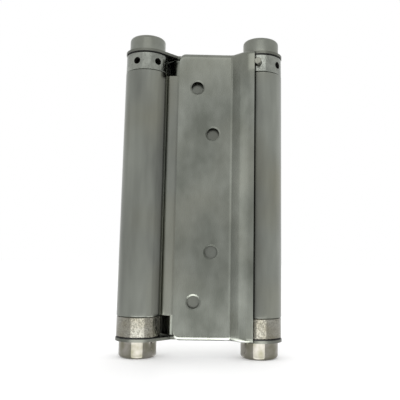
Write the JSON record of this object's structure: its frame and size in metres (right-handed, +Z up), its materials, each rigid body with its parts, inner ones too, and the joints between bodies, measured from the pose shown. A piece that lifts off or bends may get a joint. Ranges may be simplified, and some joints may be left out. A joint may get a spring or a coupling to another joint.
{
  "type": "double action spring hinge",
  "caption": "Sprung hinge with a leaf on each of two parallel barrels, so that a door swings both ways and closes by itself.",
  "frame": {"origin": "middle of the hinge, halfway between the barrel axes and halfway up the leaves", "axes": "+Z up along the barrels, +X from the left barrel to the right barrel, -Y towards the front leaf"},
  "size_m": [0.0856, 0.0304, 0.1694],
  "materials": {
    "stainless_sheet": "satin cold rolled stainless sheet",
    "tumbled_steel": "tumbled stainless steel with a fine grain",
    "pin_steel": "bright turned steel",
    "spring_steel": "oil tempered spring steel",
    "spindle_steel": "drawn steel rod",
    "satin_cap": "satin stainless steel",
    "bright_cap": "polished nickel plate",
    "black_nylon": "black nylon"
  },
  "bodies": {
    "rear_side": {"rear_leaf": "stainless_sheet", "left_spindle": "spindle_steel", "left_top_cap": "satin_cap", "left_bottom_cap": "bright_cap", "left_top_washer": "black_nylon", "left_bottom_washer": "black_nylon"},
    "middle": {"web": "stainless_sheet", "left_spring_plug": "tumbled_steel", "right_spring_plug": "tumbled_steel", "left_spring": "spring_steel", "right_spring": "spring_steel"},
    "front_side": {"front_leaf": "stainless_sheet", "right_spindle": "spindle_steel", "right_top_cap": "satin_cap", "right_bottom_cap": "bright_cap", "right_top_washer": "black_nylon", "right_bottom_washer": "black_nylon"},
    "left_collar": {"left_tension_collar": "tumbled_steel"},
    "right_collar": {"right_tension_collar": "tumbled_steel"},
    "left_pin": {"left_stop_pin": "pin_steel"},
    "right_pin": {"right_stop_pin": "pin_steel"}
  },
  "joints": [
    {"name": "left_swing", "type": "hinge", "parent": "rear_side", "child": "middle", "pos_m": [-0.03125, 0, 0], "axis": [0, 0, -1], "range_deg": [0, 180], "stiffness_Nm_per_rad": 1, "springref_deg": -85.94, "deforming": ["left_spring"]},
    {"name": "right_swing", "type": "hinge", "parent": "middle", "child": "front_side", "pos_m": [0.03125, 0, 0], "axis": [0, 0, 1], "range_deg": [0, 180], "stiffness_Nm_per_rad": 1, "springref_deg": -85.94, "deforming": ["right_spring"]},
    {"name": "left_tension", "type": "hinge", "parent": "rear_side", "child": "left_collar", "pos_m": [-0.03125, 0, 0], "axis": [0, 0, 1], "range_deg": [0, 180], "stiffness_Nm_per_rad": 1, "springref_deg": -85.94},
    {"name": "right_tension", "type": "hinge", "parent": "front_side", "child": "right_collar", "pos_m": [0.03125, 0, 0], "axis": [0, 0, 1], "range_deg": [0, 180], "stiffness_Nm_per_rad": 1, "springref_deg": -85.94},
    {"name": "left_pin_pull", "type": "slide", "parent": "left_collar", "child": "left_pin", "axis": [0.1895, 0.9819, 0], "range_m": [0, 0.006]},
    {"name": "right_pin_pull", "type": "slide", "parent": "right_collar", "child": "right_pin", "axis": [-0.1895, -0.9819, 0], "range_m": [0, 0.006]}
  ]
}
